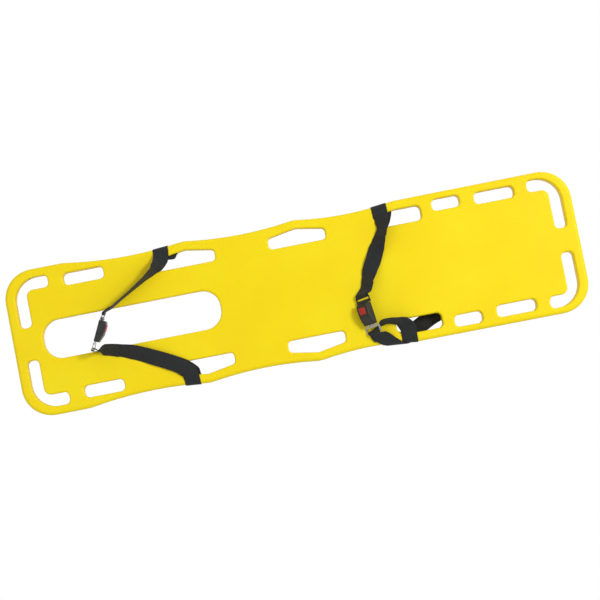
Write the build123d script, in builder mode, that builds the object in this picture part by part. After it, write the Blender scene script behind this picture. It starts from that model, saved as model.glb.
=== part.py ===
"""Long rescue board with a chest strap and a leg strap, each closed by a push-button buckle.

Millimetres. The board lies flat, +Z up, its head end towards +X, its origin at the middle of the floor below it.
"""

import os
from math import cos, radians, sin

from build123d import *

os.makedirs("parts", exist_ok=True)

# Board
board_length = 1840.0
foot_width = 472.0
head_width = 461.0
board_thickness = 42.0
runner_height = 10.0
wall = 4.5
corner_radius = 96.0
edge_round = 12.0
rim_round = 6.0
crest_round = 90.0
underside = runner_height
deck = runner_height + board_thickness

# Waves of the long edges: (x, distance from the middle line)
foot_shoulder = (-717.0, foot_width / 2)
waist_dips = [(-509.0, 218.5), (-151.0, 216.5), (201.0, 216.0)]
crests = [(-327.0, 230.5), (31.5, 229.5), (354.5, 228.5)]

# Plain hand slots: (middle x, length, inner edge, outer edge), edges measured from the middle line
plain_slots = [
    (-660.0, 131.0, 163.0, 202.0),
    (520.0, 90.0, 170.0, 208.0),
    (677.0, 129.0, 165.0, 203.5),
]
plain_slot_round = 15.0

# Five-cornered hand slots in the crests
crest_slot_places = [-328.0, 31.5]
crest_slot_length = 185.0
crest_slot_inner = 149.0
crest_slot_shoulder = 185.0
crest_slot_peak = 201.5
crest_slot_round = 13.0
peak_round = 45.0

# Hand slot in the head shoulder, with one sloping corner
shoulder_slot_ends = (289.0, 436.5)
shoulder_slot_inner = 150.0
shoulder_slot_outer = 199.0
shoulder_slot_drop = 12.0
shoulder_slot_round = 16.0

# L-shaped corner slots: a leg along the end and an arm along the side
corner_slot_width = 39.0
corner_slot_margin = 32.0
corner_slot_arm_outer = 209.0
corner_slot_outer_round = 76.0
corner_slot_inner_round = 22.0
corner_slot_end_round = 15.0
foot_leg_end = 52.5
head_leg_end = 39.0
foot_arm_end = -774.0
head_arm_end = 785.0

# Long slot between the legs
long_slot_ends = (-823.5, -248.5)
long_slot_width = 125.0
long_slot_round = 57.0

# Runners under the board, foam core, stiffening rods and foam plugs
runner_length = 1580.0
runner_width = 34.0
runner_spacing = 210.0
runner_draft = 20.0
core_clearance = 0.2
cavity_chamfer = 5.0
rod_diameter = 10.0
rod_length = 1600.0
rod_clearance = 0.2
plug_places = [180.0, 560.0]
plug_diameter = 25.0
plug_stem_diameter = 16.0
plug_stem_length = 6.0
plug_clearance = 0.2

# Webbing
webbing_width = 50.0
webbing_thickness = 1.8
webbing_gap = 0.5

# Straps: x where each one crosses the outer edge of the rail, and x where it comes up through the slot
chest_upper_rail = (307.0, 321.0)
chest_lower_rail = (324.0, 327.0)
leg_upper_rail = (-403.0, -377.0)
leg_lower_rail = (-380.0, -375.0)

# Buckles: place of the tongue's plane (z above the deck), heading of the tongue, roll about that heading
chest_buckle_place = (205.5, -112.8, 26.0)
chest_buckle_heading = 97.0
chest_buckle_roll = 45.0
leg_buckle_place = (-639.4, -2.5, 26.0)
leg_buckle_heading = 64.5
leg_buckle_roll = -90.0

# Buckle covers, in the buckle's own frame: +Y towards the tongue, +Z out of the button's face, z = 0 the tongue's middle
body_length = 70.0
body_width = 46.0
cover_wall = 2.0
back_depth = 6.2
front_height = 15.0
crown_height = 19.5
crown_drop = 1.0
rear_height = 9.0
cover_round = 3.0
cover_side_round = 2.5
cover_gap = 0.2

# Tongue
tongue_thickness = 2.2
tongue_width = 26.0
tongue_nose = -23.5
nose_bar = 3.75
window_length = 12.0
window_width = 16.0
head_start = 38.0
head_end = 60.0
head_width_steel = 59.0
head_round = 7.0
nose_round = 5.0
tongue_bar = 6.0
slot_corner = 2.0
webbing_slot_width = webbing_width + 1.5
webbing_slot_length = 8.0
boot_gap = 0.8
boot_length = 8.0
boot_thickness = 6.0

# Frame
frame_thickness = 2.5
frame_width = 34.0
frame_floor = -1.6
frame_wall_height = 12.0
frame_wall_length = 40.0
neck_width = 26.0
tail_reach = 30.0
tail_gap = 3.0
tail_width = 64.0
tail_bar = 7.0
tail_slot_length = 12.0

# Latch, its pin and its spring
pin_height = 8.0
pin_radius = 1.5
pin_clearance = 0.15
barrel_radius = 2.6
latch_width = 28.0
latch_thickness = 2.0
latch_front = 15.0
latch_rear = -13.25
tooth_length = 4.5
tooth_width = 12.0
tooth_tip = -0.6
spring_wire = 0.6
spring_turns = 3.0
latch_spring_radius = 2.6

# Button
button_middle = 13.0
button_length = 22.0
button_width = 25.0
button_top = 21.4
button_bottom = 15.4
button_round = 2.4
button_lip = 1.2
button_clearance = 0.4
button_leg_width = 10.0
button_leg_length = 3.0
contact_gap = 0.5

# Ejector and its spring
ejector_length = 3.2
ejector_width = 18.0
ejector_height = 3.5
ejector_spring_radius = 2.0

# Cover screws
screw_place = (17.5, -28.0)
screw_clearance = 0.05
screw_radius = 1.25
screw_head_radius = 2.3
screw_head_depth = 1.3
boss_radius = 2.8


def write(piece, name):
    """Label a finished piece and write it."""
    piece.label = name
    export_step(piece, f"parts/{name}.step")


half_length = board_length / 2


def plan(inset):
    """Outline of the board, inset all round."""
    end = half_length - inset
    foot_corner = (-end, foot_width / 2 - inset)
    head_corner = (end, head_width / 2 - inset)
    peaks = [(x, y - inset) for x, y in [foot_shoulder] + crests]
    dips = [(x, y - inset) for x, y in waist_dips]
    with BuildSketch() as shape:
        with BuildLine():
            Line((-end, 0), foot_corner)
            Line(foot_corner, peaks[0])
            for start, dip, crest in zip(peaks[:-1], dips, peaks[1:]):
                ThreePointArc(start, dip, crest)
            Line(peaks[-1], head_corner)
            Line(head_corner, (end, 0))
            Line((end, 0), (-end, 0))
        make_face()
        upper = shape.vertices().filter_by(lambda v: v.Y > 1)
        fillet(upper.filter_by(lambda v: abs(v.X) > end - 1), corner_radius - inset)
        upper = shape.vertices().filter_by(lambda v: v.Y > 1)
        fillet(upper.filter_by(lambda v: min(abs(v.X - x) for x, _ in peaks) < 1), crest_round)
        mirror(about=Plane.XZ)
    return shape.sketch


outline = plan(0)


def slot_polygon(points, rounds):
    """A slot with straight sides and a rounding for each corner, and its mirror image across the board."""
    with BuildSketch() as slot:
        with BuildLine():
            FilletPolyline(*points, radius=rounds, close=True)
        make_face()
        mirror(about=Plane.XZ)
    return slot.sketch


def crest_slot(x):
    """Hand slot whose outer side follows the peak of a crest."""
    half = crest_slot_length / 2
    points = [
        (x - half, crest_slot_inner),
        (x + half, crest_slot_inner),
        (x + half, crest_slot_shoulder),
        (x, crest_slot_peak),
        (x - half, crest_slot_shoulder),
    ]
    return slot_polygon(points, [crest_slot_round] * 3 + [peak_round, crest_slot_round])


def shoulder_slot():
    """Hand slot whose outer side slopes away from the head shoulder."""
    left, right = shoulder_slot_ends
    points = [
        (left, shoulder_slot_inner),
        (right, shoulder_slot_inner),
        (right, shoulder_slot_outer),
        (crests[-1][0], shoulder_slot_outer),
        (left, shoulder_slot_outer - shoulder_slot_drop),
    ]
    return slot_polygon(points, [shoulder_slot_round] * 3 + [peak_round, shoulder_slot_round])


def corner_slot(end, arm_end, leg_end):
    """The L-shaped slots at the foot end (end = -1) or at the head end (end = 1)."""
    outer = end * (half_length - corner_slot_margin)
    inner = outer - end * corner_slot_width
    arm_inner = corner_slot_arm_outer - corner_slot_width
    points = [
        (inner, leg_end),
        (outer, leg_end),
        (outer, corner_slot_arm_outer),
        (arm_end, corner_slot_arm_outer),
        (arm_end, arm_inner),
        (inner, arm_inner),
    ]
    tip = corner_slot_end_round
    return slot_polygon(points, [tip, tip, corner_slot_outer_round, tip, tip, corner_slot_inner_round])


shaped_slots = [crest_slot(place) for place in crest_slot_places]
shaped_slots += [shoulder_slot()]
shaped_slots += [corner_slot(-1, foot_arm_end, foot_leg_end), corner_slot(1, head_arm_end, head_leg_end)]
with BuildSketch() as slots:
    for middle, length, inner_edge, outer_edge in plain_slots:
        for side in (1, -1):
            with Locations((middle, side * (inner_edge + outer_edge) / 2)):
                RectangleRounded(length, outer_edge - inner_edge, plain_slot_round)
    add(shaped_slots)
    with Locations((sum(long_slot_ends) / 2, 0)):
        RectangleRounded(long_slot_ends[1] - long_slot_ends[0], long_slot_width, long_slot_round)

runner_places = [(0, side * runner_spacing / 2) for side in (1, -1)]


def filling(inset):
    """What lies inside the skin, inset from its outer faces: the hollow itself, or the foam in it."""
    board_plan = plan(inset)
    with BuildPart() as body:
        with BuildSketch(Plane.XY.offset(underside + inset)):
            add(board_plan)
        extrude(amount=board_thickness - 2 * inset)
        chamfer(body.faces().filter_by(Axis.Z).edges(), cavity_chamfer)
        with BuildSketch(Plane.XY.offset(underside)):
            offset(slots.sketch, amount=inset)
        extrude(amount=board_thickness, mode=Mode.SUBTRACT)
        with BuildSketch(Plane.XY.offset(underside + inset)):
            with Locations(*runner_places):
                SlotOverall(runner_length - 2 * inset, runner_width - 2 * inset)
        extrude(amount=-runner_height, taper=runner_draft)
    return body.part


cavity = filling(wall)
core = filling(wall + core_clearance)

with BuildPart() as board_shell:
    with BuildSketch(Plane.XY.offset(underside)):
        add(outline)
        add(slots.sketch, mode=Mode.SUBTRACT)
    extrude(amount=board_thickness)
    flats = board_shell.faces().filter_by(Axis.Z)
    fillet([edge for flat in flats for edge in flat.outer_wire().edges()], edge_round)
    flats = board_shell.faces().filter_by(Axis.Z)
    fillet([edge for flat in flats for rim in flat.inner_wires() for edge in rim.edges()], rim_round)
    with BuildSketch(Plane.XY.offset(underside)):
        with Locations(*runner_places):
            SlotOverall(runner_length, runner_width)
    extrude(amount=-runner_height, taper=runner_draft)
    add(cavity, mode=Mode.SUBTRACT)
    with BuildSketch(Plane.XY.offset(underside)):
        with Locations(*[(x, 0) for x in plug_places]):
            Circle(plug_diameter / 2)
    extrude(amount=wall, mode=Mode.SUBTRACT)
write(board_shell.part, "board_shell")

rod_height = underside + board_thickness / 2
rod_plane = Plane.YZ.offset(-rod_length / 2)
rod_spots = [(side * runner_spacing / 2, rod_height) for side in (1, -1)]

with BuildPart() as foam_core:
    add(core)
    with BuildSketch(rod_plane):
        with Locations(*rod_spots):
            Circle(rod_diameter / 2 + rod_clearance)
    extrude(amount=rod_length, mode=Mode.SUBTRACT)
    with BuildSketch(Plane.XY.offset(underside + wall)):
        with Locations(*[(x, 0) for x in plug_places]):
            Circle(plug_stem_diameter / 2 + plug_clearance)
    extrude(amount=plug_stem_length + plug_clearance, mode=Mode.SUBTRACT)
write(foam_core.part, "foam_core")

with BuildPart() as stiffener_rods:
    with BuildSketch(rod_plane.offset(rod_clearance)):
        with Locations(*rod_spots):
            Circle(rod_diameter / 2)
    extrude(amount=rod_length - 2 * rod_clearance)
write(stiffener_rods.part, "stiffener_rods")

with BuildPart() as fill_plugs:
    with BuildSketch(Plane.XY.offset(underside)):
        with Locations(*[(x, 0) for x in plug_places]):
            Circle(plug_diameter / 2 - plug_clearance)
    extrude(amount=wall)
    with BuildSketch(Plane.XY.offset(underside + wall)):
        with Locations(*[(x, 0) for x in plug_places]):
            Circle(plug_stem_diameter / 2)
    extrude(amount=plug_stem_length)
write(fill_plugs.part, "fill_plugs")

# Buckle pieces, built once in the buckle's own frame and placed twice
front = body_length / 2
rear = -body_length / 2
tongue_half = tongue_thickness / 2
floor_top = -back_depth + cover_wall
plate_bottom = frame_floor - frame_thickness
tail_end = rear - tail_reach
latch_top = pin_height + latch_thickness / 2
crown_middle = button_middle - button_length
screw_spots = [(side * screw_place[0], screw_place[1]) for side in (1, -1)]
mouth_width = tongue_width + 1.2
mouth_height = tongue_thickness + 1.6


def strip(low, high, width, mode=Mode.ADD):
    """Rectangle across the buckle, from y = low to y = high."""
    with Locations((0, (low + high) / 2)):
        Rectangle(width, high - low, mode=mode)


def crown(inset):
    """Side view of the upper cover above the tongue's plane, inset from its outer faces."""
    points = [
        (rear + inset, 0),
        (rear + inset, rear_height - inset),
        (crown_middle, crown_height - crown_drop - inset),
        (button_middle + button_length / 2 - 2, crown_height - inset),
        (front - inset, front_height - inset),
        (front - inset, 0),
    ]
    with BuildSketch(Plane.YZ.offset(-body_width / 2 + inset)) as view:
        with BuildLine():
            Polyline(*points, close=True)
        make_face()
        fillet(vertices().filter_by(lambda v: v.Z > 1), cover_round)
    return view.sketch


crown_outside = crown(0)
crown_inside = crown(cover_wall)

with BuildPart() as top_cover:
    add(crown_outside)
    extrude(amount=body_width, dir=(1, 0, 0))
    sides = top_cover.faces().filter_by(Axis.X).edges()
    fillet(sides.filter_by(lambda edge: edge.center().Z > cover_gap), cover_side_round)
    add(crown_inside)
    extrude(amount=body_width - 2 * cover_wall, dir=(1, 0, 0), mode=Mode.SUBTRACT)
    with BuildSketch(Plane.XY):
        with Locations(*screw_spots):
            Circle(boss_radius)
    extrude(amount=rear_height + cover_wall / 2)
    with BuildSketch(Plane.XY):
        with Locations(*screw_spots):
            Circle(screw_radius + screw_clearance)
    extrude(amount=rear_height - cover_wall, mode=Mode.SUBTRACT)
    with BuildSketch(Plane.XY.offset(button_bottom)):
        with Locations((0, button_middle)):
            opening_width = button_width + 2 * button_clearance
            RectangleRounded(opening_width, button_length + 2 * button_clearance, button_round)
    extrude(amount=crown_height, mode=Mode.SUBTRACT)
    with Locations((0, front, 0)):
        Box(mouth_width, 3 * cover_wall, mouth_height, mode=Mode.SUBTRACT)

with BuildPart() as bottom_cover:
    with BuildSketch(Plane.XY.offset(-cover_gap)):
        RectangleRounded(body_width, body_length, cover_round)
    extrude(amount=cover_gap - back_depth)
    chamfer(bottom_cover.faces().sort_by(Axis.Z)[0].edges(), cover_wall / 2)
    with BuildSketch(Plane.XY.offset(floor_top)):
        Rectangle(body_width - 2 * cover_wall, body_length - 2 * cover_wall)
        with Locations(*screw_spots):
            Circle(boss_radius, mode=Mode.SUBTRACT)
    extrude(amount=back_depth, mode=Mode.SUBTRACT)
    with BuildSketch(Plane.XY.offset(-back_depth)):
        with Locations(*screw_spots):
            Circle(screw_radius + cover_gap)
    extrude(amount=back_depth, mode=Mode.SUBTRACT)
    with BuildSketch(Plane.XY.offset(-back_depth)):
        with Locations(*screw_spots):
            Circle(screw_head_radius + cover_gap)
    extrude(amount=screw_head_depth + cover_gap, mode=Mode.SUBTRACT)
    with Locations((0, front, 0)):
        Box(mouth_width, 3 * cover_wall, mouth_height, mode=Mode.SUBTRACT)
    with Locations((0, rear, plate_bottom + frame_thickness / 2)):
        Box(neck_width + 2 * cover_gap, 3 * cover_wall, frame_thickness + 2 * cover_gap, mode=Mode.SUBTRACT)

with BuildPart() as cover_screws:
    with BuildSketch(Plane.XY.offset(-back_depth)):
        with Locations(*screw_spots):
            Circle(screw_head_radius)
    extrude(amount=screw_head_depth)
    with BuildSketch(Plane.XY.offset(-back_depth)):
        with Locations(*screw_spots):
            Circle(screw_radius)
    extrude(amount=back_depth + rear_height - cover_wall - cover_gap)

with BuildPart() as frame:
    half_wall = frame_wall_length / 2
    with BuildSketch(Plane.XY.offset(plate_bottom)):
        strip(-half_wall, front - 2 * cover_wall, frame_width)
        strip(rear - tail_gap - head_round, -half_wall, neck_width)
        with Locations((0, (tail_end + rear - tail_gap) / 2)):
            RectangleRounded(tail_width, tail_reach - tail_gap, head_round)
        with Locations((0, tail_end + tail_bar + tail_slot_length / 2)):
            RectangleRounded(webbing_slot_width, tail_slot_length, slot_corner, mode=Mode.SUBTRACT)
    extrude(amount=frame_thickness)
    with BuildSketch(Plane.XY.offset(plate_bottom)):
        for side in (1, -1):
            with Locations((side * (frame_width - frame_thickness) / 2, 0)):
                Rectangle(frame_thickness, frame_wall_length)
    extrude(amount=frame_wall_height - plate_bottom)
    with BuildSketch(Plane.YZ):
        with Locations((0, pin_height)):
            Circle(pin_radius + screw_clearance)
    extrude(amount=frame_width, both=True, mode=Mode.SUBTRACT)

with BuildPart() as tongue:
    with BuildSketch(Plane.XY.offset(-tongue_half)):
        strip(tongue_nose, head_start + head_round, tongue_width)
        nose = tongue_nose + nose_round
        fillet(vertices().filter_by(lambda v: v.Y < nose), nose_round)
        with Locations((0, (head_start + head_end) / 2)):
            RectangleRounded(head_width_steel, head_end - head_start, head_round)
        with Locations((0, head_end - tongue_bar - webbing_slot_length / 2)):
            RectangleRounded(webbing_slot_width, webbing_slot_length, slot_corner, mode=Mode.SUBTRACT)
        with Locations((0, tongue_nose + nose_bar + window_length / 2)):
            RectangleRounded(window_width, window_length, slot_corner, mode=Mode.SUBTRACT)
    extrude(amount=tongue_thickness)

with BuildPart() as tongue_boot:
    with BuildSketch(Plane.XY.offset(-boot_thickness / 2)):
        with Locations((0, front + boot_gap + boot_length / 2)):
            RectangleRounded(head_width_steel + 2 * screw_clearance, boot_length, slot_corner)
    extrude(amount=boot_thickness)
    chamfer(tongue_boot.faces().filter_by(Axis.Z).edges(), tongue_half / 2)
    add(tongue.part, mode=Mode.SUBTRACT)

with BuildPart() as button:
    with BuildSketch(Plane.XY.offset(button_bottom)):
        with Locations((0, button_middle)):
            RectangleRounded(button_width, button_length, button_round)
    extrude(amount=button_top - button_bottom)
    fillet(button.faces().sort_by(Axis.Z)[-1].edges(), button_lip / 2)
    with BuildSketch(Plane.XY.offset(button_bottom)):
        with Locations((0, button_middle)):
            Rectangle(button_width + 2 * button_lip, button_length + 2 * button_lip)
    extrude(amount=button_lip / 2)
    with BuildSketch(Plane.XY.offset(latch_top + contact_gap)):
        with Locations((0, button_middle)):
            Rectangle(button_leg_width, button_leg_length)
    extrude(amount=button_bottom - latch_top - contact_gap)

with BuildPart() as latch:
    with BuildSketch(Plane.YZ.offset(-latch_width / 2)):
        with Locations(((latch_front + latch_rear) / 2, pin_height)):
            Rectangle(latch_front - latch_rear, latch_thickness)
        with Locations((0, pin_height)):
            Circle(barrel_radius)
            Circle(pin_radius + pin_clearance, mode=Mode.SUBTRACT)
    extrude(amount=latch_width)
    with BuildSketch(Plane.XY.offset(tooth_tip)):
        strip(latch_rear, latch_rear + tooth_length, tooth_width)
    extrude(amount=pin_height - tooth_tip)

with BuildPart() as latch_pin:
    with BuildSketch(Plane.YZ):
        with Locations((0, pin_height)):
            Circle(pin_radius)
    extrude(amount=frame_width / 2 + pin_clearance, both=True)


def coil(start, height, radius, turns, axis):
    """A helical spring of round wire."""
    with BuildPart() as spring:
        with BuildLine():
            path = Helix(pitch=height / turns, height=height, radius=radius, center=start, direction=axis)
        with BuildSketch(Plane(origin=path @ 0, z_dir=path % 0)):
            RegularPolygon(spring_wire / 2, 6)
        sweep(is_frenet=True)
    return spring


latch_spring_foot = latch_top + spring_wire
latch_spring_head = crown_height - crown_drop - cover_wall - 1.5 * spring_wire
latch_spring = coil(
    (0, crown_middle, latch_spring_foot),
    latch_spring_head - latch_spring_foot,
    latch_spring_radius,
    spring_turns,
    (0, 0, 1),
)

ejector_front = tongue_nose - contact_gap
ejector_rear = ejector_front - ejector_length
ejector_floor = frame_floor + contact_gap
ejector_middle = (ejector_floor + ejector_height) / 2
with BuildPart() as ejector:
    with BuildSketch(Plane.XY.offset(ejector_floor)):
        strip(ejector_rear, ejector_front, ejector_width)
        fillet(vertices(), slot_corner / 2)
    extrude(amount=ejector_height - ejector_floor)
    with BuildSketch(Plane.XZ.offset(-ejector_rear)):
        with Locations((0, ejector_middle)):
            Circle(ejector_spring_radius - spring_wire)
    extrude(amount=ejector_length / 2)

ejector_spring_rear = rear + cover_wall + spring_wire
ejector_spring = coil(
    (0, ejector_spring_rear, ejector_middle),
    ejector_rear - spring_wire - ejector_spring_rear,
    ejector_spring_radius,
    spring_turns,
    (0, 1, 0),
)


def buckle_plane(place, heading, roll):
    """Plane of a buckle's tongue: Y along its heading over the deck, X level and then rolled about Y."""
    turn = radians(heading)
    lean = radians(roll)
    along = Vector(cos(turn), sin(turn), 0)
    across = Vector(sin(turn) * cos(lean), -cos(turn) * cos(lean), sin(lean))
    return Plane(Vector(place[0], place[1], deck + place[2]), x_dir=across, z_dir=across.cross(along))


chest_plane = buckle_plane(chest_buckle_place, chest_buckle_heading, chest_buckle_roll)
leg_plane = buckle_plane(leg_buckle_place, leg_buckle_heading, leg_buckle_roll)
buckle_pieces = {
    "top_cover": top_cover,
    "bottom_cover": bottom_cover,
    "cover_screws": cover_screws,
    "buckle_frame": frame,
    "tongue": tongue,
    "tongue_boot": tongue_boot,
    "button": button,
    "latch": latch,
    "latch_pin": latch_pin,
    "latch_spring": latch_spring,
    "ejector": ejector,
    "ejector_spring": ejector_spring,
}
for strap, plane in (("chest", chest_plane), ("leg", leg_plane)):
    for name, piece in buckle_pieces.items():
        write(plane.location * piece.part, f"{strap}_{name}")


# Webbing: each strap is a row of stations, a middle point and a half width across the band
band_offset = webbing_gap + webbing_thickness / 2
layer_step = webbing_thickness + webbing_gap
bar_offset = webbing_thickness / 2 + 0.65


def across(azimuth, tilt=0.0, stretch=1.0):
    """Half the band's width, pointing at an azimuth over the deck and tilted up from it."""
    turn = radians(azimuth)
    lean = radians(tilt)
    return Vector(cos(turn) * cos(lean), sin(turn) * cos(lean), sin(lean)) * webbing_width * stretch / 2


def at(x, y, height, azimuth, tilt=0.0, stretch=1.0):
    """Station at a height above the deck."""
    return Vector(x, y, deck + height), across(azimuth, tilt, stretch)


def in_buckle(plane, y, z, side=1):
    """Station on a buckle's middle line."""
    return plane.from_local_coords(Vector(0, y, z)), plane.x_dir * side * webbing_width / 2


def layer(stations, distance):
    """The same run of stations, one layer further along the band's normal."""
    moved = []
    for index, (middle, half) in enumerate(stations):
        ahead = stations[min(index + 1, len(stations) - 1)][0]
        behind = stations[max(index - 1, 0)][0]
        normal = half.cross(ahead - behind).normalized()
        moved.append((middle + normal * distance, half))
    return moved


def reach(plan, x):
    """Distance from the middle line to the farthest point of a plan at x."""
    ray = Edge.make_line((x, webbing_width), (x, foot_width))
    return max(vertex.Y for edge in (plan & ray).edges() for vertex in edge.vertices())


def turn_corner(side, x, centre_y, centre_z, radius, angle, half):
    """Station on a rounded corner of the rail; angle 0 is its top, 90 its outer side."""
    turn = radians(angle)
    return Vector(x, side * (centre_y + radius * sin(turn)), centre_z + radius * cos(turn)), half


def snug(plan_of, x, half, pick):
    """Where a flat band, half wide each way from x, lies against a plan's edge, and how the edge leans there."""
    lean = (reach(plan_of, x + half) - reach(plan_of, x - half)) / (2 * half)
    steps = [half * k / 5 for k in range(-5, 6)]
    return pick(reach(plan_of, x + step) - lean * step for step in steps), lean


def rail_loop(side, places, flip=1):
    """Stations from the top of the rail round its outer edge, under it and up through its slot."""
    x_edge, x_slot = places
    half = webbing_width / 2
    edge, edge_lean = snug(outline, x_edge, half, max)
    slot, slot_lean = snug(slots.sketch, x_slot, half, min)
    edge -= edge_round
    slot += rim_round
    edge_half = Vector(1, side * edge_lean, 0).normalized() * half * flip
    slot_half = Vector(1, side * slot_lean, 0).normalized() * half * flip
    outer = edge_round + band_offset
    inner = rim_round + band_offset
    top, bottom = deck - edge_round, underside + edge_round
    rim = underside + rim_round
    quarter = [22.5 * k for k in range(5)]
    stations = [turn_corner(side, x_edge, edge, top, outer, a, edge_half) for a in quarter]
    stations += [turn_corner(side, x_edge, edge, bottom, outer, 90 + a, edge_half) for a in quarter]
    middle = Vector((x_edge + x_slot) / 2, side * (edge + slot) / 2, underside - band_offset)
    stations += [(middle, (edge_half + slot_half) / 2)]
    stations += [turn_corner(side, x_slot, slot, rim, inner, a, slot_half) for a in (180, 210, 240, 270)]
    stations += [(Vector(x_slot, side * (slot - inner), deck - 2 * rim_round), slot_half)]
    return stations


def tongue_loop(plane):
    """Stations round the outer bar of a tongue, from its back to its face."""
    face = tongue_half + bar_offset
    inner = head_end - tongue_bar
    path = [(head_end, face), (inner, face), (inner - bar_offset, tongue_half)]
    path = [(y, -z) for y, z in path] + path[::-1]
    return [in_buckle(plane, y, z) for y, z in path]


def band(stations):
    """The webbing through a row of stations."""
    with BuildPart() as webbing:
        for index, (middle, half) in enumerate(stations):
            ahead = stations[min(index + 1, len(stations) - 1)][0]
            behind = stations[max(index - 1, 0)][0]
            normal = half.cross(ahead - behind)
            with BuildSketch(Plane(middle, x_dir=half, z_dir=normal.cross(half))):
                Rectangle(2 * half.length, webbing_thickness)
        loft(ruled=True)
    return webbing.part


# Chest strap, upper part: from the tongue over the deck to the head shoulder
tongue_exit = [in_buckle(chest_plane, head_end + webbing_thickness * 2, tongue_half + bar_offset)]
chest_run = [
    at(214.7, -33.8, 22, -26, 50),
    at(225.3, -8.3, 20.5, -27, 44),
    at(240.3, 23.8, 14, -27, 20),
    at(255.4, 49.1, 8, -26, 0),
    at(271.3, 81.0, 9, -25, 12),
    at(284.0, 106.0, 17, -24, 36),
    at(293.5, 126.0, 22.5, -22, 48),
    at(302.0, 145.0, 24, -18, 54),
    at(306.5, 170.5, 17, -6, 36),
    at(307.0, 190.0, 7, 0, 14),
]
chest_return = [at(313.0, 168.0, 10, 0, 30)]
chest_upper = (
    layer(tongue_exit + chest_run[:2], -layer_step - webbing_gap)[:0:-1]
    + tongue_loop(chest_plane)
    + tongue_exit
    + chest_run
    + rail_loop(1, chest_upper_rail)
    + chest_return
    + layer(chest_run[6:8], -layer_step)[::-1]
)
write(band(chest_upper), "chest_upper_webbing")

# Leg strap, upper part: on edge over the deck, then flat round the rail
leg_exit = [in_buckle(leg_plane, head_end + webbing_thickness * 2, tongue_half + bar_offset)]
leg_run = [
    at(-588.9, 62.4, 25.8, -60, -88),
    at(-553.7, 83.1, 25.8, -61, -88),
    at(-518.5, 103.0, 25.8, -61, -86),
    at(-473.8, 129.3, 25.8, -60, -80),
    at(-441.0, 149.0, 26, -56, -68),
    at(-420.0, 165.5, 22, -38, -42),
    at(-407.0, 186.0, 8, -12, -14),
]
leg_return = [at(-388.0, 181.0, 1, -4, -8)]
leg_upper = (
    layer(leg_exit + leg_run[:1], -layer_step)[::-1]
    + tongue_loop(leg_plane)
    + leg_exit
    + leg_run
    + rail_loop(1, leg_upper_rail)
    + leg_return
    + layer(leg_run[5:7], -layer_step)[:0:-1]
)
write(band(leg_upper), "leg_upper_webbing")

# Leg strap, lower part: looped on the buckle's tail bar, flat over the deck, round the other rail
plate_top = frame_floor
bar_face = plate_top + bar_offset
bar_back = plate_bottom - bar_offset
bar_outer = tail_end - bar_offset
bar_inner = tail_end + tail_bar + bar_offset
leg_bar = [
    (bar_outer, bar_face + 3),
    (bar_outer, plate_top),
    (bar_outer, plate_bottom),
    (tail_end, bar_back),
    (tail_end + tail_bar, bar_back),
    (bar_inner, plate_bottom),
    (bar_inner, plate_top),
    (bar_inner - 1, bar_face + 3),
]
leg_lower_run = [
    in_buckle(leg_plane, tail_end + tail_bar - 2.5, 14),
    at(-634.0, -63.0, 19.5, -108, -47),
    at(-588.9, -74.4, 16.5, -108, -38),
    at(-540.9, -90.6, 10.8, -112, -22),
    at(-477.0, -121.7, 10, -116, -12),
    at(-422.6, -150.6, 7, -124, -3),
    at(-396.0, -171.0, 5.5, -142),
    at(-383.0, -190.0, 4, -165),
]
leg_lower_return = [at(-378.0, -178.0, -2, -170)]
leg_lower = (
    layer(leg_lower_run[:3], layer_step)[::-1]
    + [in_buckle(leg_plane, y, z) for y, z in leg_bar]
    + leg_lower_run
    + rail_loop(-1, leg_lower_rail, -1)
    + leg_lower_return
    + layer(leg_lower_run[4:6], -layer_step)[::-1]
)
write(band(leg_lower), "leg_lower_webbing")

# Chest strap, lower part: loose tail under the board, over the edge, through the tail bar, on edge to the rail
tail_layer = layer_step + band_offset + webbing_gap
tail_places = (252.0, 312.0)
skew = 1.4


def tail_turn(angle, centre_z, x):
    """Station of the loose tail, slanting round the outer edge outside the strap's own loop."""
    half = webbing_width * skew / 2
    edge, lean = snug(outline, x, half, max)
    slant = Vector(-1, lean, 0).normalized() * half
    return turn_corner(-1, x, edge + webbing_gap - edge_round, centre_z, edge_round + tail_layer, angle, slant)


tail_top, tail_bottom = tail_places
tail_step = (tail_bottom - tail_top) / 6
loose_tail = [
    at(432.8, -151.0, underside - deck - tail_layer, 115),
    at(402.5, -162.2, underside - deck - tail_layer, 117),
    at(361.0, -183.0, underside - deck - tail_layer, 126, 0, 1.05),
    at(338.0, -198.0, underside - deck - tail_layer, 150, 0, 1.2),
]
loose_tail += [tail_turn(180 - 30 * k, underside + edge_round, tail_bottom - tail_step * k) for k in range(4)]
loose_tail += [tail_turn(90 - 30 * k, deck - edge_round, tail_bottom - tail_step * (k + 3)) for k in range(4)]
slack = [at(232.0, -191.0, 9, 213, -10), at(224.0, -184.0, 17, 198, -28)]
bar_path = [
    (bar_outer - 1, plate_bottom - 2),
    (bar_outer, plate_top),
    (tail_end, bar_face),
    (tail_end + tail_bar, bar_face),
    (bar_inner, plate_top),
    (bar_inner, plate_bottom),
    (bar_inner + 1, bar_back - 2),
]
chest_lower_run = [
    at(224.0, -160.0, 21, 205, -50),
    at(234.0, -153.0, 26, 245, -60),
    at(258.6, -147.0, 26, 277, -70),
    at(288.0, -151.5, 25, 262, -66),
    at(308.0, -160.0, 17, 228, -42),
    at(320.0, -172.0, 8, 200, -16),
    at(324.0, -188.0, 4, 182, 0),
]
chest_lower_return = [at(326.0, -184.0, -4, 180)]
chest_lower = (
    loose_tail
    + slack
    + [in_buckle(chest_plane, y, z, -1) for y, z in bar_path]
    + chest_lower_run
    + rail_loop(-1, chest_lower_rail, -1)
    + chest_lower_return
    + layer(chest_lower_run[3:6], -layer_step)[::-1][:2]
)
write(band(chest_lower), "chest_lower_webbing")
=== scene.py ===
from math import atan, cos, pi, radians, sin

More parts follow.
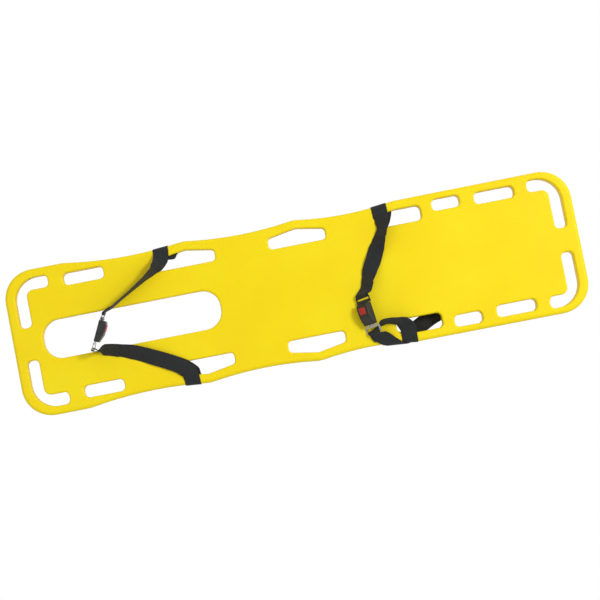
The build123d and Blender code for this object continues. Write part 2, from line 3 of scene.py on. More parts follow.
import bpy
from mathutils import Matrix, Vector
from mathutils.noise import noise


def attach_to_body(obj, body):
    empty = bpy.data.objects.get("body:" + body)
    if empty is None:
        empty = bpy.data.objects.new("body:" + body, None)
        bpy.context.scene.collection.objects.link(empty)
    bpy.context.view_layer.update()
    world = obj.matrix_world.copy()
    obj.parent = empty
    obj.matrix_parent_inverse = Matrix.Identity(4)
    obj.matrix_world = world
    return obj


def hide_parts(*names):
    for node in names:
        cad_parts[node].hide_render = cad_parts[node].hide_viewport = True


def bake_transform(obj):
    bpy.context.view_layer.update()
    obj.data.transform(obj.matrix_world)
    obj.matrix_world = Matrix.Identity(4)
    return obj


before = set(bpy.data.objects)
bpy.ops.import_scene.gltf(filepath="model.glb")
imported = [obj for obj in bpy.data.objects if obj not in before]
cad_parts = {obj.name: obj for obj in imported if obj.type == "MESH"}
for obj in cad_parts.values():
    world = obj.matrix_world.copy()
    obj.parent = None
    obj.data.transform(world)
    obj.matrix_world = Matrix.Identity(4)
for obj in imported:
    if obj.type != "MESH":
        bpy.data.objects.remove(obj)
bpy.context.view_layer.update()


# Camera: nearly straight above the board, which rises to the right of the picture
BOARD_TURN = radians(11.1)
CAMERA_TILT = radians(3.0)
CAMERA_DISTANCE = 5.0
VIEW_WIDTH = 1.911
DECK = 0.052
OFF_CENTRE = (0.0090, -0.0256)

picture_right = Vector((cos(BOARD_TURN), -sin(BOARD_TURN), 0))
picture_up = Vector((sin(BOARD_TURN), cos(BOARD_TURN), 0))
aim = Vector((0, 0, DECK)) + picture_right * OFF_CENTRE[0] + picture_up * OFF_CENTRE[1]
eye = aim + CAMERA_DISTANCE * (Vector((0, 0, cos(CAMERA_TILT))) - picture_up * sin(CAMERA_TILT))
camera = bpy.data.objects.new("camera", bpy.data.cameras.new("camera"))
bpy.context.scene.collection.objects.link(camera)
forward = (aim - eye).normalized()
right = forward.cross(picture_up).normalized()
above = right.cross(forward)
camera.matrix_world = Matrix.Translation(eye) @ Matrix((right, above, -forward)).transposed().to_4x4()
camera.data.sensor_fit = "HORIZONTAL"
camera.data.angle = 2 * atan(VIEW_WIDTH / 2 / CAMERA_DISTANCE)
camera.data.clip_end = 50
bpy.context.scene.camera = camera
bpy.context.scene.view_settings.view_transform = "Standard"


# Materials
class Graph:
    """A material's node tree, with short ways to add and link nodes."""

    def __init__(self, name):
        self.material = bpy.data.materials.new(name)
        self.material.use_nodes = True
        self.nodes = self.material.node_tree.nodes
        self.links = self.material.node_tree.links
        self.shader = self.nodes["Principled BSDF"]

    def add(self, kind, **values):
        node = self.nodes.new("ShaderNode" + kind)
        for name, value in values.items():
            node.inputs[name].default_value = value
        return node

    def link(self, source, target):
        self.links.new(source, target)

    def math(self, operation, first, second=0.0):
        node = self.nodes.new("ShaderNodeMath")
        node.operation = operation
        for socket, value in zip(node.inputs, (first, second)):
            if isinstance(value, (int, float)):
                socket.default_value = value
            else:
                self.links.new(value, socket)
        return node.outputs[0]

    def noise(self, scale, detail=3.0, roughness=0.5):
        node = self.add("TexNoise", Scale=scale, Detail=detail, Roughness=roughness)
        self.link(self.add("TexCoord").outputs["Object"], node.inputs["Vector"])
        return node.outputs["Fac"]

    def ramp(self, factor, stops):
        node = self.nodes.new("ShaderNodeValToRGB")
        elements = node.color_ramp.elements
        while len(elements) < len(stops):
            elements.new(0.5)
        for element, (place, colour) in zip(elements, stops):
            element.position = place
            element.color = (*colour, 1)
        self.link(factor, node.inputs["Fac"])
        return node.outputs["Color"]

    def greys(self, factor, *stops):
        return self.ramp(factor, [(place, (value, value, value)) for place, value in stops])

    def bump(self, height, distance, strength, below=None):
        node = self.add("Bump", Distance=distance, Strength=strength)
        self.link(height, node.inputs["Height"])
        if below is not None:
            self.link(below, node.inputs["Normal"])
        return node.outputs["Normal"]

    def finish(self, colour, roughness, normal, **values):
        self.link(colour, self.shader.inputs["Base Color"])
        self.link(normal, self.shader.inputs["Normal"])
        if isinstance(roughness, float):
            self.shader.inputs["Roughness"].default_value = roughness
        else:
            self.link(roughness, self.shader.inputs["Roughness"])
        for name, value in values.items():
            self.shader.inputs[name.replace("_", " ")].default_value = value
        return self.material


def moulded_yellow():
    """Blow-moulded polyethylene: bright yellow, slightly translucent, a fine grain over a faint swell."""
    graph = Graph("moulded_yellow")
    yellows = [(0.3, (0.93, 0.685, 0.001)), (0.52, (0.94, 0.715, 0.002)), (0.72, (0.95, 0.745, 0.005))]
    colour = graph.ramp(graph.noise(6.0, 4.0), yellows)
    grain = graph.noise(1400.0, 2.0)
    swell = graph.noise(28.0, 2.0)
    rough = graph.greys(graph.noise(45.0, 5.0), (0.3, 0.4), (0.75, 0.56))
    normal = graph.bump(grain, 0.00025, 0.35, below=graph.bump(swell, 0.0012, 0.3))
    body = {
        "Subsurface_Weight": 0.15,
        "Subsurface_Scale": 0.01,
        "Subsurface_Radius": (1.0, 0.45, 0.05),
        "Specular_IOR_Level": 0.2,
        "IOR": 1.5,
    }
    return graph.finish(colour, rough, normal, **body)


# Weave of the webbing, in metres
WEAVE = {"rib_across": 0.0026, "rib_along": 0.0034, "thread": 0.0011, "pick": 0.0016}
SELVAGE_START = 0.0225


def webbing_black():
    """Woven polyester webbing: twill ribs, a tight selvage along both edges, worn fibres."""
    graph = Graph("webbing_black")
    math = graph.math
    parts = graph.add("SeparateXYZ")
    graph.link(graph.add("UVMap").outputs["UV"], parts.inputs["Vector"])
    across, along = parts.outputs["X"], parts.outputs["Y"]

    def phase(length, pitch):
        return math("MULTIPLY", length, 2 * pi / WEAVE[pitch])

    fold = math("ABSOLUTE", across)
    ribs = math("SINE", math("ADD", phase(fold, "rib_across"), phase(along, "rib_along")))
    threads = math("SINE", phase(across, "thread"))
    weave = math("ADD", math("MULTIPLY", ribs, 0.6), math("MULTIPLY", threads, 0.4))
    edge = math("GREATER_THAN", fold, SELVAGE_START)
    picks = math("SINE", phase(along, "pick"))
    middle = math("MULTIPLY", weave, math("SUBTRACT", 1.0, edge))
    height = math("ADD", middle, math("MULTIPLY", picks, edge))
    # Painted shade: the colour darkens in the weave's low valleys and lightens on its raised ribs and
    # picks, and a random noise tone is added on top
    weave_shade = math("ADD", math("MULTIPLY", height, 0.22), 0.35)
    shade = math("ADD", weave_shade, math("MULTIPLY", graph.noise(90.0, 4.0), 0.3))
    blacks = [(0.2, (0.003, 0.004, 0.005)), (0.55, (0.009, 0.011, 0.012)), (0.85, (0.026, 0.03, 0.032))]
    normal = graph.bump(height, 0.0004, 0.8)
    return graph.finish(graph.ramp(shade, blacks), 0.78, normal, Sheen_Weight=0.05, Sheen_Roughness=0.5)


def thread_black():
    """Bonded sewing thread, a little lighter and shinier than the webbing."""
    graph = Graph("thread_black")
    twist = graph.noise(2600.0, 1.0)
    colour = graph.ramp(twist, [(0.35, (0.02, 0.021, 0.022)), (0.65, (0.07, 0.07, 0.072))])
    return graph.finish(colour, 0.5, graph.bump(twist, 0.0002, 0.6))


def black_plastic():
    """Spark-eroded black nylon with rubbed, shinier edges."""
    graph = Graph("black_plastic")
    grain = graph.noise(1800.0, 3.0)
    rub = graph.noise(60.0, 5.0)
    colour = graph.ramp(rub, [(0.35, (0.01, 0.0105, 0.011)), (0.75, (0.026, 0.027, 0.028))])
    rough = graph.greys(rub, (0.3, 0.36), (0.7, 0.5))
    return graph.finish(colour, rough, graph.bump(grain, 0.0002, 0.4))


def red_plastic():
    """Glossy red push button with fine scratches."""
    graph = Graph("red_plastic")
    wear = graph.noise(220.0, 6.0, 0.7)
    colour = graph.ramp(wear, [(0.35, (0.42, 0.012, 0.01)), (0.7, (0.56, 0.025, 0.018))])
    rough = graph.greys(wear, (0.35, 0.25), (0.7, 0.42))
    return graph.finish(colour, rough, graph.bump(wear, 0.0001, 0.3))


def plated_steel():
    """Zinc-plated pressed steel: finely grained, cloudy and a little dull."""
    graph = Graph("plated_steel")
    cloud = graph.noise(160.0, 5.0, 0.6)
    colour = graph.ramp(cloud, [(0.3, (0.38, 0.38, 0.37)), (0.7, (0.62, 0.62, 0.6))])
    rough = graph.greys(cloud, (0.3, 0.26), (0.75, 0.44))
    brush = graph.noise(2400.0, 1.0)
    return graph.finish(colour, rough, graph.bump(brush, 0.0001, 0.25), Metallic=1.0)


def coated_steel():
    """Black electrocoated steel, slightly uneven, a little worn where the tongue slides."""
    graph = Graph("coated_steel")
    wear = graph.noise(240.0, 5.0, 0.6)
    colour = graph.ramp(wear, [(0.35, (0.012, 0.0125, 0.013)), (0.75, (0.045, 0.046, 0.048))])
    rough = graph.greys(wear, (0.3, 0.32), (0.75, 0.5))
    return graph.finish(colour, rough, graph.bump(wear, 0.0001, 0.3), Metallic=0.3)


def plain(name, colour, rough, scale):
    """A piece inside the board: plain colour, broken up by a fine noise."""
    graph = Graph(name)
    speck = graph.noise(scale, 3.0)
    dark = tuple(value * 0.8 for value in colour)
    shades = graph.ramp(speck, [(0.3, dark), (0.7, colour)])
    return graph.finish(shades, rough, graph.bump(speck, 0.0004, 0.4))


yellow = moulded_yellow()
webbing = webbing_black()
thread = thread_black()
black = black_plastic()
red = red_plastic()
steel = plated_steel()
coated = coated_steel()
node_materials = {
    "board_shell": yellow,
    "fill_plugs": plain("plug_yellow", (0.8, 0.56, 0.02), 0.55, 900.0),
    "foam_core": plain("foam_cream", (0.75, 0.66, 0.42), 0.9, 500.0),
    "stiffener_rods": plain("rod_grey", (0.12, 0.12, 0.12), 0.5, 300.0),
}
piece_materials = {
    "tongue": coated,
    "tongue_boot": black,
    "buckle_frame": steel,
    "top_cover": black,
    "bottom_cover": black,
    "button": red,
    "latch": steel,
    "latch_pin": steel,
    "latch_spring": steel,
    "ejector": black,
    "ejector_spring": steel,
    "cover_screws": steel,
}
for strap in ("chest", "leg"):
    for piece, material in piece_materials.items():
        node_materials[f"{strap}_{piece}"] = material
for node, material in node_materials.items():
    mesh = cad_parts[node].data
    mesh.materials.clear()
    mesh.materials.append(material)

# Webbing: a middle point and a half width across the band for each station, in millimetres
STATIONS = {
    "chest_upper_webbing": [
        (227.1, -9.1, 70.5, 16.0, -8.2, 17.4),
        (216.3, -35.3, 72.2, 14.4, -7.0, 19.2),
        (200.0, -53.0, 76.1, 17.5, 2.2, 17.7),
        (200.8, -59.0, 76.1, 17.5, 2.2, 17.7),
        (199.9, -60.6, 77.2, 17.5, 2.2, 17.7),
        (198.3, -60.8, 78.8, 17.5, 2.2, 17.7),
        (197.1, -59.4, 79.9, 17.5, 2.2, 17.7),
        (196.3, -53.5, 79.9, 17.5, 2.2, 17.7),
        (195.9, -49.9, 79.9, 17.5, 2.2, 17.7),
        (214.7, -33.8, 74.0, 14.4, -7.0, 19.2),
        (225.3, -8.3, 72.5, 16.0, -8.2, 17.4),
        (240.3, 23.8, 66.0, 20.9, -10.7, 8.6),
        (255.4, 49.1, 60.0, 22.5, -11.0, 0.0),
        (271.3, 81.0, 61.0, 22.2, -10.3, 5.2),
        (284.0, 106.0, 69.0, 18.5, -8.2, 14.7),
        (293.5, 126.0, 74.5, 15.5, -6.3, 18.6),
        (302.0, 145.0, 76.0, 14.0, -4.5, 20.2),
        (306.5, 170.5, 69.0, 20.1, -2.1, 14.7),
        (307.0, 190.0, 59.0, 24.3, 0.0, 6.0),
        (307.0, 210.4, 53.4, 24.8, 2.7, 0.0),
        (307.0, 215.5, 52.4, 24.8, 2.7, 0.0),
        (307.0, 219.9, 49.5, 24.8, 2.7, 0.0),
        (307.0, 222.8, 45.1, 24.8, 2.7, 0.0),
        (307.0, 223.8, 40.0, 24.8, 2.7, 0.0),
        (307.0, 223.8, 22.0, 24.8, 2.7, 0.0),
        (307.0, 222.8, 16.9, 24.8, 2.7, 0.0),
        (307.0, 219.9, 12.5, 24.8, 2.7, 0.0),
        (307.0, 215.5, 9.6, 24.8, 2.7, 0.0),
        (307.0, 210.4, 8.6, 24.8, 2.7, 0.0),
        (314.0, 204.3, 8.6, 24.7, 4.0, 0.0),
        (321.0, 198.2, 8.6, 24.5, 5.2, 0.0),
        (321.0, 194.5, 9.6, 24.5, 5.2, 0.0),
        (321.0, 191.8, 12.3, 24.5, 5.2, 0.0),
        (321.0, 190.8, 16.0, 24.5, 5.2, 0.0),
        (321.0, 190.8, 40.0, 24.5, 5.2, 0.0),
        (313.0, 168.0, 62.0, 21.7, 0.0, 12.5),
        (303.7, 144.3, 74.6, 14.0, -4.5, 20.2),
        (295.1, 125.4, 73.0, 15.5, -6.3, 18.6),
    ],
    "chest_lower_webbing": [
        (432.8, -151.0, 5.8, -10.6, 22.7, 0.0),
        (402.5, -162.2, 5.8, -11.3, 22.3, 0.0),
        (361.0, -183.0, 5.8, -15.4, 21.2, 0.0),
        (338.0, -198.0, 5.8, -26.0, 15.0, 0.0),
        (312.0, -211.8, 5.8, -34.8, 4.0, 0.0),
        (302.0, -218.8, 8.0, -34.8, 3.7, 0.0),
        (292.0, -223.7, 13.9, -34.8, 3.3, 0.0),
        (282.0, -225.0, 22.0, -34.9, 3.0, 0.0),
        (282.0, -225.0, 40.0, -34.9, 3.0, 0.0),
        (272.0, -222.0, 48.1, -34.9, 2.6, 0.0),
        (262.0, -215.4, 54.0, -34.9, 2.3, 0.0),
        (252.0, -206.6, 56.2, -34.9, 1.9, 0.0),
        (232.0, -191.0, 61.0, -20.6, -13.4, -4.3),
        (224.0, -184.0, 69.0, -21.0, -6.8, -11.7),
        (218.0, -179.3, 73.7, -17.5, -2.2, -17.7),
        (214.7, -178.7, 76.9, -17.5, -2.2, -17.7),
        (213.5, -177.3, 78.0, -17.5, -2.2, -17.7),
        (212.6, -170.4, 78.0, -17.5, -2.2, -17.7),
        (213.5, -168.7, 76.9, -17.5, -2.2, -17.7),
        (215.3, -168.5, 75.1, -17.5, -2.2, -17.7),
        (217.6, -167.2, 72.6, -17.5, -2.2, -17.7),
        (224.0, -160.0, 73.0, -14.6, -6.8, -19.2),
        (234.0, -153.0, 78.0, -5.3, -11.3, -21.7),
        (258.6, -147.0, 78.0, 1.0, -8.5, -23.5),
        (288.0, -151.5, 77.0, -1.4, -10.1, -22.8),
        (308.0, -160.0, 69.0, -12.4, -13.8, -16.7),
        (320.0, -172.0, 60.0, -22.6, -8.2, -6.9),
        (324.0, -188.0, 56.0, -25.0, -0.9, 0.0),
        (324.0, -212.4, 53.4, -24.8, 3.2, -0.0),
        (324.0, -217.6, 52.4, -24.8, 3.2, -0.0),
        (324.0, -221.9, 49.5, -24.8, 3.2, -0.0),
        (324.0, -224.8, 45.1, -24.8, 3.2, -0.0),
        (324.0, -225.8, 40.0, -24.8, 3.2, -0.0),
        (324.0, -225.8, 22.0, -24.8, 3.2, -0.0),
        (324.0, -224.8, 16.9, -24.8, 3.2, -0.0),
        (324.0, -221.9, 12.5, -24.8, 3.2, -0.0),
        (324.0, -217.6, 9.6, -24.8, 3.2, -0.0),
        (324.0, -212.4, 8.6, -24.8, 3.2, -0.0),
        (325.5, -206.2, 8.6, -24.7, 3.8, -0.0),
        (327.0, -199.9, 8.6, -24.6, 4.5, -0.0),
        (327.0, -196.2, 9.6, -24.6, 4.5, -0.0),
        (327.0, -193.5, 12.3, -24.6, 4.5, -0.0),
        (327.0, -192.5, 16.0, -24.6, 4.5, -0.0),
        (327.0, -192.5, 40.0, -24.6, 4.5, -0.0),
        (326.0, -184.0, 48.0, -25.0, 0.0, 0.0),
        (320.0, -170.6, 58.2, -22.6, -8.2, -6.9),
        (308.2, -158.3, 67.4, -12.4, -13.8, -16.7),
    ],
    "leg_upper_webbing": [
        (-589.8, 64.5, 77.7, 0.4, -0.8, -25.0),
        (-610.5, 55.9, 78.0, 0.0, -0.0, -25.0),
        (-616.0, 52.8, 78.0, 0.0, -0.0, -25.0),
        (-618.5, 47.4, 78.0, 0.0, -0.0, -25.0),
        (-617.8, 45.3, 78.0, 0.0, -0.0, -25.0),
        (-615.8, 44.4, 78.0, 0.0, -0.0, -25.0),
        (-613.8, 45.1, 78.0, 0.0, -0.0, -25.0),
        (-611.2, 50.5, 78.0, 0.0, -0.0, -25.0),
        (-609.6, 53.8, 78.0, 0.0, -0.0, -25.0),
        (-588.9, 62.4, 77.8, 0.4, -0.8, -25.0),
        (-553.7, 83.1, 77.8, 0.4, -0.8, -25.0),
        (-518.5, 103.0, 77.8, 0.8, -1.5, -24.9),
        (-473.8, 129.3, 77.8, 2.2, -3.8, -24.6),
        (-441.0, 149.0, 78.0, 5.2, -7.8, -23.2),
        (-420.0, 165.5, 74.0, 14.6, -11.4, -16.7),
        (-407.0, 186.0, 60.0, 23.7, -5.0, -6.0),
        (-403.0, 210.6, 53.4, 24.9, 1.9, 0.0),
        (-403.0, 215.7, 52.4, 24.9, 1.9, 0.0),
        (-403.0, 220.1, 49.5, 24.9, 1.9, 0.0),
        (-403.0, 223.0, 45.1, 24.9, 1.9, 0.0),
        (-403.0, 224.0, 40.0, 24.9, 1.9, 0.0),
        (-403.0, 224.0, 22.0, 24.9, 1.9, 0.0),
        (-403.0, 223.0, 16.9, 24.9, 1.9, 0.0),
        (-403.0, 220.1, 12.5, 24.9, 1.9, 0.0),
        (-403.0, 215.7, 9.6, 24.9, 1.9, 0.0),
        (-403.0, 210.6, 8.6, 24.9, 1.9, 0.0),
        (-390.0, 204.7, 8.6, 24.8, 3.2, 0.0),
        (-377.0, 198.8, 8.6, 24.6, 4.4, 0.0),
        (-377.0, 195.1, 9.6, 24.6, 4.4, 0.0),
        (-377.0, 192.4, 12.3, 24.6, 4.4, 0.0),
        (-377.0, 191.4, 16.0, 24.6, 4.4, 0.0),
        (-377.0, 191.4, 40.0, 24.6, 4.4, 0.0),
        (-388.0, 181.0, 53.0, 24.7, -1.7, -3.5),
        (-407.7, 185.1, 58.0, 23.7, -5.0, -6.0),
    ],
    "leg_lower_webbing": [
        (-589.1, -75.8, 70.3, -6.1, -18.7, -15.4),
        (-634.1, -64.7, 73.0, -5.3, -16.2, -18.3),
        (-652.8, -65.4, 78.0, 0.0, -0.0, -25.0),
        (-665.4, -63.8, 78.0, 0.0, -0.0, -25.0),
        (-669.5, -61.9, 78.0, 0.0, -0.0, -25.0),
        (-671.8, -60.8, 78.0, 0.0, -0.0, -25.0),
        (-672.5, -58.7, 78.0, 0.0, -0.0, -25.0),
        (-669.5, -52.4, 78.0, 0.0, -0.0, -25.0),
        (-667.4, -51.7, 78.0, 0.0, -0.0, -25.0),
        (-665.1, -52.8, 78.0, 0.0, -0.0, -25.0),
        (-661.5, -55.6, 78.0, 0.0, -0.0, -25.0),
        (-652.8, -63.1, 78.0, 0.0, -0.0, -25.0),
        (-634.0, -63.0, 71.5, -5.3, -16.2, -18.3),
        (-588.9, -74.4, 68.5, -6.1, -18.7, -15.4),
        (-540.9, -90.6, 62.8, -8.7, -21.5, -9.4),
        (-477.0, -121.7, 62.0, -10.7, -22.0, -5.2),
        (-422.6, -150.6, 59.0, -14.0, -20.7, -1.3),
        (-396.0, -171.0, 57.5, -19.7, -15.4, 0.0),
        (-383.0, -190.0, 56.0, -24.1, -6.5, 0.0),
        (-380.0, -212.6, 53.4, -24.9, 2.4, -0.0),
        (-380.0, -217.7, 52.4, -24.9, 2.4, -0.0),
        (-380.0, -222.1, 49.5, -24.9, 2.4, -0.0),
        (-380.0, -225.0, 45.1, -24.9, 2.4, -0.0),
        (-380.0, -226.0, 40.0, -24.9, 2.4, -0.0),
        (-380.0, -226.0, 22.0, -24.9, 2.4, -0.0),
        (-380.0, -225.0, 16.9, -24.9, 2.4, -0.0),
        (-380.0, -222.1, 12.5, -24.9, 2.4, -0.0),
        (-380.0, -217.7, 9.6, -24.9, 2.4, -0.0),
        (-380.0, -212.6, 8.6, -24.9, 2.4, -0.0),
        (-377.5, -205.9, 8.6, -24.7, 3.4, -0.0),
        (-375.0, -199.1, 8.6, -24.6, 4.4, -0.0),
        (-375.0, -195.4, 9.6, -24.6, 4.4, -0.0),
        (-375.0, -192.7, 12.3, -24.6, 4.4, -0.0),
        (-375.0, -191.7, 16.0, -24.6, 4.4, -0.0),
        (-375.0, -191.7, 40.0, -24.6, 4.4, -0.0),
        (-378.0, -178.0, 50.0, -24.6, -4.3, 0.0),
        (-422.6, -150.4, 56.7, -14.0, -20.7, -1.3),
        (-476.9, -121.2, 59.8, -10.7, -22.0, -5.2),
    ],
}
HALF_THICK = 0.0009
EDGE_THICK = 0.0006
HALF_WIDTH = 0.025
SELVAGE_SHARE = 0.95
RIM_SHARE = 0.4
RIPPLE = 0.00012
ACROSS = (-1.0, -0.97, -0.9, -0.45, 0.0, 0.45, 0.9, 0.97, 1.0)
STEP = 0.006


def between(p0, p1, p2, p3, t):
    """Point on a curve through p1 and p2 that never swings out at uneven spacing."""
    first = max((p1 - p0).length, 1e-6) ** 0.5
    middle = max((p2 - p1).length, 1e-6) ** 0.5
    last = max((p3 - p2).length, 1e-6) ** 0.5
    out = (p1 - p0) / first - (p2 - p0) / (first + middle) + (p2 - p1) / middle
    into = (p2 - p1) / middle - (p3 - p1) / (middle + last) + (p3 - p2) / last
    out, into = out * middle, into * middle
    a = 2 * p1 - 2 * p2 + out + into
    b = -3 * p1 + 3 * p2 - 2 * out - into
    return a * t**3 + b * t**2 + out * t + p1


def smooth_rows(stations):
    """Stations in metres, with more of them wherever the band runs on."""
    middles = [Vector(row[:3]) / 1000 for row in stations]
    halves = [Vector(row[3:]) / 1000 for row in stations]
    last = len(stations) - 1
    rows = []
    for index in range(last):
        ids = [max(index - 1, 0), index, index + 1, min(index + 2, last)]
        length = (middles[index + 1] - middles[index]).length
        count = max(1, round(length / STEP))
        width = halves[index].length
        for k in range(count):
            t = k / count
            middle = between(*[middles[i] for i in ids], t)
            half = halves[index].lerp(halves[index + 1], t * t * (3 - 2 * t))
            size = width + (halves[index + 1].length - width) * t
            rows.append((middle, half.normalized() * size))
    rows.append((middles[-1], halves[-1]))
    return rows


def frames(rows):
    """Each row with the band's normal there and the length run so far."""
    run = 0.0
    made = []
    for index, (middle, half) in enumerate(rows):
        ahead = rows[min(index + 1, len(rows) - 1)][0]
        behind = rows[max(index - 1, 0)][0]
        normal = half.cross(ahead - behind).normalized()
        if index:
            run += (middle - rows[index - 1][0]).length
        made.append((middle, half, normal, run))
    return made


def new_object(name, verts, faces, material):
    mesh = bpy.data.meshes.new(name)
    mesh.from_pydata([tuple(v) for v in verts], [], faces)
    mesh.materials.append(material)
    thing = bpy.data.objects.new(name, mesh)
    bpy.context.scene.collection.objects.link(thing)
    for polygon in mesh.polygons:
        polygon.use_smooth = True
    return thing


def webbing_band(name, stations):
    """The woven band: a flat section with rounded selvages, swept through its stations."""
    made = frames(smooth_rows(stations))
    sides = len(ACROSS)
    verts, uvs = [], []
    for middle, half, normal, run in made:
        width = half.length
        for face in (1, -1):
            for u in ACROSS[::face]:
                thick = EDGE_THICK if abs(u) > SELVAGE_SHARE else HALF_THICK
                if abs(u) == 1:
                    thick = EDGE_THICK * RIM_SHARE
                ripple = RIPPLE * noise(Vector((u * 3, run * 40, len(name))))
                verts.append(middle + half * u + normal * (face * thick + ripple))
                uvs.append((u * min(width, HALF_WIDTH), run))
    ring = 2 * sides
    faces = []
    for row in range(len(made) - 1):
        base = row * ring
        for k in range(ring):
            faces.append((base + k, base + (k + 1) % ring, base + ring + (k + 1) % ring, base + ring + k))
    faces.append(tuple(range(ring))[::-1])
    faces.append(tuple(range(len(verts) - ring, len(verts))))
    thing = new_object(name, verts, faces, webbing)
    layer = thing.data.uv_layers.new(name="UVMap")
    for loop in thing.data.loops:
        layer.data[loop.index].uv = uvs[loop.vertex_index]
    thing.data.flip_normals()
    return thing, made


STITCH_LENGTH, STITCH_GAP, THREAD_RADIUS = 0.0032, 0.0012, 0.00035
THREAD_SIDES = 6
SEAM_ROWS = (-0.84, -0.42, 0.0, 0.42, 0.84)
# A stitch swells from its ends to its middle: (share of its length, share of the thread's radius)
STITCH_SHAPE = ((0.0, 0.35), (0.2, 1.0), (0.8, 1.0), (1.0, 0.35))


def place_on(made, run, u):
    """Where a thread lies on a band, and the band's normal there; None past the band's end."""
    for (m0, h0, n0, r0), (m1, h1, n1, r1) in zip(made, made[1:]):
        if r0 <= run <= r1:
            t = (run - r0) / max(r1 - r0, 1e-9)
            normal = n0.lerp(n1, t).normalized()
            lift = HALF_THICK + THREAD_RADIUS * 0.4
            return m0.lerp(m1, t) + h0.lerp(h1, t) * u + normal * lift, normal
    return None


def stitch_rows(name, made, start, end):
    """Sewing thread: rows of short raised stitches along the band, closed by a row across at both ends."""
    verts, faces = [], []

    def stitch(first, second):
        a, b = place_on(made, *first), place_on(made, *second)
        if not a or not b:
            return
        along = (b[0] - a[0]).normalized()
        up = a[1]
        side = along.cross(up).normalized()
        base = len(verts)
        for share, size in STITCH_SHAPE:
            centre = a[0].lerp(b[0], share) - up * THREAD_RADIUS * (1 - size)
            for k in range(THREAD_SIDES):
                turn = 2 * pi * k / THREAD_SIDES
                verts.append(centre + (side * cos(turn) + up * sin(turn)) * THREAD_RADIUS * size)
        for ring in range(len(STITCH_SHAPE) - 1):
            low = base + ring * THREAD_SIDES
            high = low + THREAD_SIDES
            for k in range(THREAD_SIDES):
                after = (k + 1) % THREAD_SIDES
                faces.append((low + k, low + after, high + after, high + k))
        faces.append(tuple(range(base, base + THREAD_SIDES))[::-1])
        faces.append(tuple(range(len(verts) - THREAD_SIDES, len(verts))))

    for u in SEAM_ROWS:
        run = start
        while run + STITCH_LENGTH < end:
            stitch((run, u), (run + STITCH_LENGTH, u))
            run += STITCH_LENGTH + STITCH_GAP
    for run in (start, end):
        u = SEAM_ROWS[0]
        while u + STITCH_LENGTH / HALF_WIDTH <= SEAM_ROWS[-1]:
            stitch((run, u), (run, u + STITCH_LENGTH / HALF_WIDTH))
            u += (STITCH_LENGTH + STITCH_GAP) / HALF_WIDTH
    return new_object(name, verts, faces, thread)


bands = {}
for name, stations in STATIONS.items():
    thing, made = webbing_band(name.replace("webbing", "band"), stations)
    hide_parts(name)
    bands[name] = (thing, made)


def run_at(name, station):
    """Length run along a band up to one of its stations."""
    point = Vector(STATIONS[name][station][:3]) / 1000
    return min(bands[name][1], key=lambda row: (row[0] - point).length)[3]


# Sewn overlaps: (band, first station, how far past it, length)
SEAMS = [
    ("chest_upper_webbing", 8, 0.004, 0.036),
    ("chest_upper_webbing", 15, 0.0, 0.038),
    ("chest_lower_webbing", 24, -0.006, 0.03),
    ("leg_upper_webbing", 8, 0.004, 0.028),
    ("leg_upper_webbing", 14, 0.0, 0.026),
    ("leg_lower_webbing", 11, 0.004, 0.04),
    ("leg_lower_webbing", 15, -0.002, 0.04),
]


def attach(thing, band):
    """An upper band runs between the board and its tongue and has its place baked into its mesh; a lower
    one lies still on the board and is attached to it.
    """
    strap, part = band.split("_")[:2]
    if part == "upper":
        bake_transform(thing)
    else:
        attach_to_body(thing, "board")


for index, (band, station, shift, length) in enumerate(SEAMS):
    start = run_at(band, station) + shift
    seam_name = f"{band.replace('webbing', 'seam')}_{index}"
    seam = stitch_rows(seam_name, bands[band][1], start, start + length)
    attach(seam, band)
for name, (thing, _) in bands.items():
    attach(thing, name)

# Springs inside the buckles: (fixed end, moving end); each is copied from its part and baked in place
SPRINGS = {
    "chest_latch": ((0.1956, -0.1231, 0.089), (0.1999, -0.1226, 0.0848)),
    "chest_ejector": ((0.2086, -0.1451, 0.0788), (0.208, -0.1405, 0.0788)),
    "leg_latch": ((-0.6292, -0.0173, 0.078), (-0.6346, -0.0148, 0.078)),
    "leg_ejector": ((-0.6523, -0.0323, 0.078), (-0.6503, -0.0281, 0.078)),
}
for body, (fixed_end, moving_end) in SPRINGS.items():
    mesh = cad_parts[f"{body}_spring"].data.copy()
    spring = bpy.data.objects.new(f"{body}_coil", mesh)
    bpy.context.scene.collection.objects.link(spring)
    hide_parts(f"{body}_spring")
    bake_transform(spring)

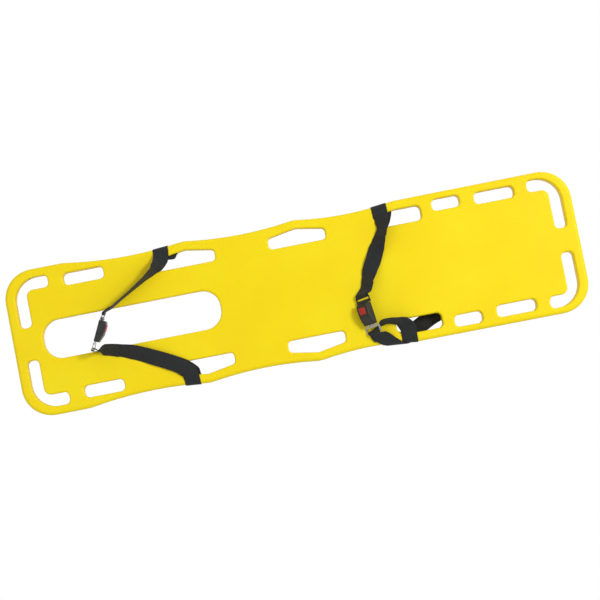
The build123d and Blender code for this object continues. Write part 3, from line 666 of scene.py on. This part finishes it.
# Floor: white wherever the camera or a reflection sees it, plain pale to all other rays
FLOOR_SIZE = 8.0
FLOOR_DROP = 0.0008
floor = new_object(
    "floor",
    [(x * FLOOR_SIZE, y * FLOOR_SIZE, -FLOOR_DROP) for x, y in ((-1, -1), (1, -1), (1, 1), (-1, 1))],
    [(0, 1, 2, 3)],
    bpy.data.materials.new("floor_white"),
)
floor_material = floor.data.materials[0]
floor_material.use_nodes = True
tree = floor_material.node_tree
rays = tree.nodes.new("ShaderNodeLightPath")
glow = tree.nodes.new("ShaderNodeEmission")
mix = tree.nodes.new("ShaderNodeMixShader")
any_ray = tree.nodes.new("ShaderNodeMath")
any_ray.operation = "MAXIMUM"
glow.inputs["Strength"].default_value = 1.0
matt = tree.nodes["Principled BSDF"]
matt.inputs["Base Color"].default_value = (0.85, 0.85, 0.85, 1)
tree.links.new(rays.outputs["Is Camera Ray"], any_ray.inputs[0])
tree.links.new(rays.outputs["Is Glossy Ray"], any_ray.inputs[1])
tree.links.new(any_ray.outputs[0], mix.inputs["Fac"])
tree.links.new(matt.outputs[0], mix.inputs[1])
tree.links.new(glow.outputs[0], mix.inputs[2])
tree.links.new(mix.outputs[0], tree.nodes["Material Output"].inputs["Surface"])

# Light: a lamp from the upper right of the picture, a weaker and wider one from the left, and a pale sky
world = bpy.data.worlds.new("sky")
bpy.context.scene.world = world
world.use_nodes = True
world.node_tree.nodes["Background"].inputs["Color"].default_value = (1, 1, 1, 1)
world.node_tree.nodes["Background"].inputs["Strength"].default_value = 0.56


def lamp(name, place, size, power, colour):
    data = bpy.data.lights.new(name, "AREA")
    data.size = size
    data.energy = power
    data.color = colour
    thing = bpy.data.objects.new(name, data)
    bpy.context.scene.collection.objects.link(thing)
    thing.location = place
    thing.rotation_euler = (aim - place).to_track_quat("-Z", "Y").to_euler()


key_place = aim + picture_right * 3.6 + picture_up * 2.0 + Vector((0, 0, 4.6))
fill_place = aim - picture_right * 2.2 - picture_up * 0.6 + Vector((0, 0, 2.8))
lamp("key", key_place, 1.3, 205.0, (1.0, 0.985, 0.95))
lamp("fill", fill_place, 2.2, 14.0, (1.0, 0.99, 0.96))
